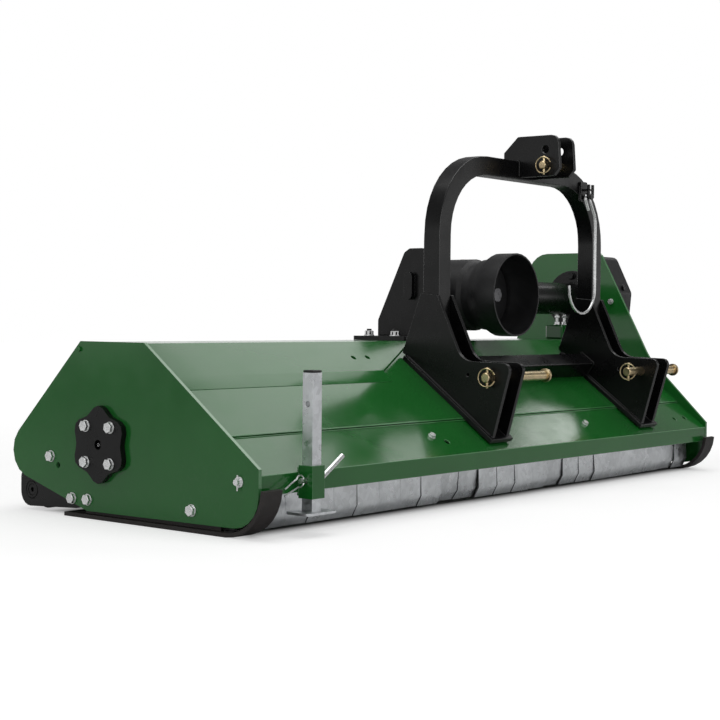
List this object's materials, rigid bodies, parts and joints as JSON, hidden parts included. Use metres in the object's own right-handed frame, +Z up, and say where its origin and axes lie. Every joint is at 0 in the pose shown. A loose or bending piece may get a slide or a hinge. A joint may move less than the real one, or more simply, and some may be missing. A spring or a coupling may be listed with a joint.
{
  "type": "tractor flail mulcher",
  "caption": "Offset PTO flail mulcher on a three-point linkage, with gearbox, belt drive, hammer rotor, front flaps, skids, rear roller and parking stand",
  "frame": {"origin": "bottom centre of the bounding box, on the ground", "axes": "+X along the working width towards the belt drive, +Y to the rear roller, -Y to the tractor, +Z up"},
  "size_m": [1.9084, 0.7478, 0.851],
  "materials": {
    "green_paint": "gloss",
    "black_paint": "satin",
    "skid_primer": "matt",
    "bare_steel": "plain",
    "cast_iron": "painted black",
    "galvanised": "galvanised",
    "yellow_zinc": "yellow passivated zinc",
    "belt_rubber": "matt",
    "black_plastic": "satin",
    "red_plastic": "satin"
  },
  "bodies": {
    "frame": {"side_plate_left": "green_paint", "side_plate_right": "green_paint", "hood_upper_sheet": "green_paint", "hood_stiffener": "green_paint", "hood_lower_sheet": "green_paint", "tension_block": "green_paint", "stand_sleeve": "green_paint", "gearbox_bridge": "black_paint", "torque_tube": "black_paint", "arch": "black_paint", "hitch_plates_left": "black_paint", "hitch_plates_right": "black_paint", "cross_beam": "black_paint", "top_plate_left": "black_paint", "top_plate_right": "black_paint", "hook_bracket": "black_paint", "bearing_cover": "black_paint", "skid_left": "skid_primer", "skid_right": "skid_primer", "counter_blade": "bare_steel", "bearing_housing_left": "cast_iron", "bearing_housing_right": "cast_iron", "gearbox_housing": "cast_iron", "flap_rod": "galvanised", "door_hinge_rod": "galvanised", "stand_tube": "galvanised", "drive_belt": "belt_rubber", "belt_cover": "black_plastic", "pto_shield": "black_plastic", "stand_cap": "black_plastic", "fill_plug": "red_plastic"},
    "input": {"input_shaft": "bare_steel"},
    "output": {"output_shaft": "bare_steel", "drive_pulley": "cast_iron"},
    "rotor": {"rotor_tube": "black_paint", "rotor_pulley": "cast_iron"},
    "door": {"rear_door": "green_paint"},
    "carriage": {"roller_bracket_left": "black_paint", "roller_bracket_right": "black_paint"},
    "roller": {"rear_roller": "black_paint"},
    "lock_pin": {"stand_lock_pin": "galvanised"},
    "top_pin": {"top_link_pin": "yellow_zinc"},
    "left_pin": {"lower_pin_left": "yellow_zinc"},
    "right_pin": {"lower_pin_right": "yellow_zinc"},
    "hook": {"pto_hook": "galvanised"},
    "hammers_1": {"hammer_row_1": "bare_steel"},
    "hammers_2": {"hammer_row_2": "bare_steel"},
    "hammers_3": {"hammer_row_3": "bare_steel"},
    "hammers_4": {"hammer_row_4": "bare_steel"},
    "flaps_1": {"flap_group_1": "galvanised"},
    "flaps_2": {"flap_group_2": "galvanised"},
    "flaps_3": {"flap_group_3": "galvanised"},
    "flaps_4": {"flap_group_4": "galvanised"},
    "flaps_5": {"flap_group_5": "galvanised"},
    "flaps_6": {"flap_group_6": "galvanised"},
    "flaps_7": {"flap_group_7": "galvanised"},
    "flaps_8": {"flap_group_8": "galvanised"}
  },
  "joints": [
    {"name": "rotor_spin", "type": "hinge", "parent": "frame", "child": "rotor", "pos_m": [-0.03215, 0.09441, 0.15], "axis": [1, 0, 0], "continuous": true},
    {"name": "output_spin", "type": "hinge", "parent": "frame", "child": "output", "pos_m": [0.21385, 0.09441, 0.467], "axis": [1, 0, 0], "continuous": true},
    {"name": "input_spin", "type": "hinge", "parent": "frame", "child": "input", "pos_m": [0.21385, 0.09441, 0.467], "axis": [0, 1, 0], "continuous": true},
    {"name": "hammers_1_swing", "type": "hinge", "parent": "rotor", "child": "hammers_1", "pos_m": [-0.03215, 0.14249, 0.19808], "axis": [1, 0, 0], "range_deg": [0, 250]},
    {"name": "hammers_2_swing", "type": "hinge", "parent": "rotor", "child": "hammers_2", "pos_m": [-0.03215, 0.04633, 0.19808], "axis": [1, 0, 0], "range_deg": [-250, 0]},
    {"name": "hammers_3_swing", "type": "hinge", "parent": "rotor", "child": "hammers_3", "pos_m": [-0.03215, 0.04633, 0.10192], "axis": [1, 0, 0], "range_deg": [-168, 80]},
    {"name": "hammers_4_swing", "type": "hinge", "parent": "rotor", "child": "hammers_4", "pos_m": [-0.03215, 0.14249, 0.10192], "axis": [1, 0, 0], "range_deg": [-80, 168]},
    {"name": "flaps_1_swing", "type": "hinge", "parent": "frame", "child": "flaps_1", "pos_m": [-0.03215, -0.27959, 0.104], "axis": [1, 0, 0], "range_deg": [-12, 70]},
    {"name": "flaps_2_swing", "type": "hinge", "parent": "frame", "child": "flaps_2", "pos_m": [-0.03215, -0.27959, 0.104], "axis": [1, 0, 0], "range_deg": [-45, 70]},
    {"name": "flaps_3_swing", "type": "hinge", "parent": "frame", "child": "flaps_3", "pos_m": [-0.03215, -0.27959, 0.104], "axis": [1, 0, 0], "range_deg": [-45, 70]},
    {"name": "flaps_4_swing", "type": "hinge", "parent": "frame", "child": "flaps_4", "pos_m": [-0.03215, -0.27959, 0.104], "axis": [1, 0, 0], "range_deg": [-45, 70]},
    {"name": "flaps_5_swing", "type": "hinge", "parent": "frame", "child": "flaps_5", "pos_m": [-0.03215, -0.27959, 0.104], "axis": [1, 0, 0], "range_deg": [-45, 70]},
    {"name": "flaps_6_swing", "type": "hinge", "parent": "frame", "child": "flaps_6", "pos_m": [-0.03215, -0.27959, 0.104], "axis": [1, 0, 0], "range_deg": [-45, 70]},
    {"name": "flaps_7_swing", "type": "hinge", "parent": "frame", "child": "flaps_7", "pos_m": [-0.03215, -0.27959, 0.104], "axis": [1, 0, 0], "range_deg": [-45, 70]},
    {"name": "flaps_8_swing", "type": "hinge", "parent": "frame", "child": "flaps_8", "pos_m": [-0.03215, -0.27959, 0.104], "axis": [1, 0, 0], "range_deg": [-45, 70]},
    {"name": "door_swing", "type": "hinge", "parent": "frame", "child": "door", "pos_m": [-0.03215, 0.16441, 0.338], "axis": [1, 0, 0], "range_deg": [0, 90]},
    {"name": "roller_height", "type": "hinge", "parent": "frame", "child": "carriage", "pos_m": [-0.03215, 0.18441, 0.036], "axis": [1, 0, 0], "range_deg": [-10, 11]},
    {"name": "roller_spin", "type": "hinge", "parent": "carriage", "child": "roller", "pos_m": [-0.03215, 0.32241, 0.042], "axis": [1, 0, 0], "continuous": true},
    {"name": "lock_pin_slide", "type": "slide", "parent": "frame", "child": "lock_pin", "axis": [1, 0, 0], "range_m": [-0.004, 0.002]},
    {"name": "top_pin_slide", "type": "slide", "parent": "frame", "child": "top_pin", "axis": [1, 0, 0], "range_m": [-0.0018, 0.008]},
    {"name": "left_pin_slide", "type": "slide", "parent": "frame", "child": "left_pin", "axis": [1, 0, 0], "range_m": [-0.15, 0.0095]},
    {"name": "right_pin_slide", "type": "slide", "parent": "frame", "child": "right_pin", "axis": [1, 0, 0], "range_m": [-0.106, 0.057]},
    {"name": "hook_swing", "type": "hinge", "parent": "frame", "child": "hook", "pos_m": [0.47585, -0.17359, 0.724], "axis": [0, 1, 0], "range_deg": [-5, 60]}
  ],
  "couplings": [
    {"joint": "output_spin", "follows": "rotor_spin", "ratio": 0.625},
    {"joint": "input_spin", "follows": "rotor_spin", "ratio": 0.26042}
  ]
}
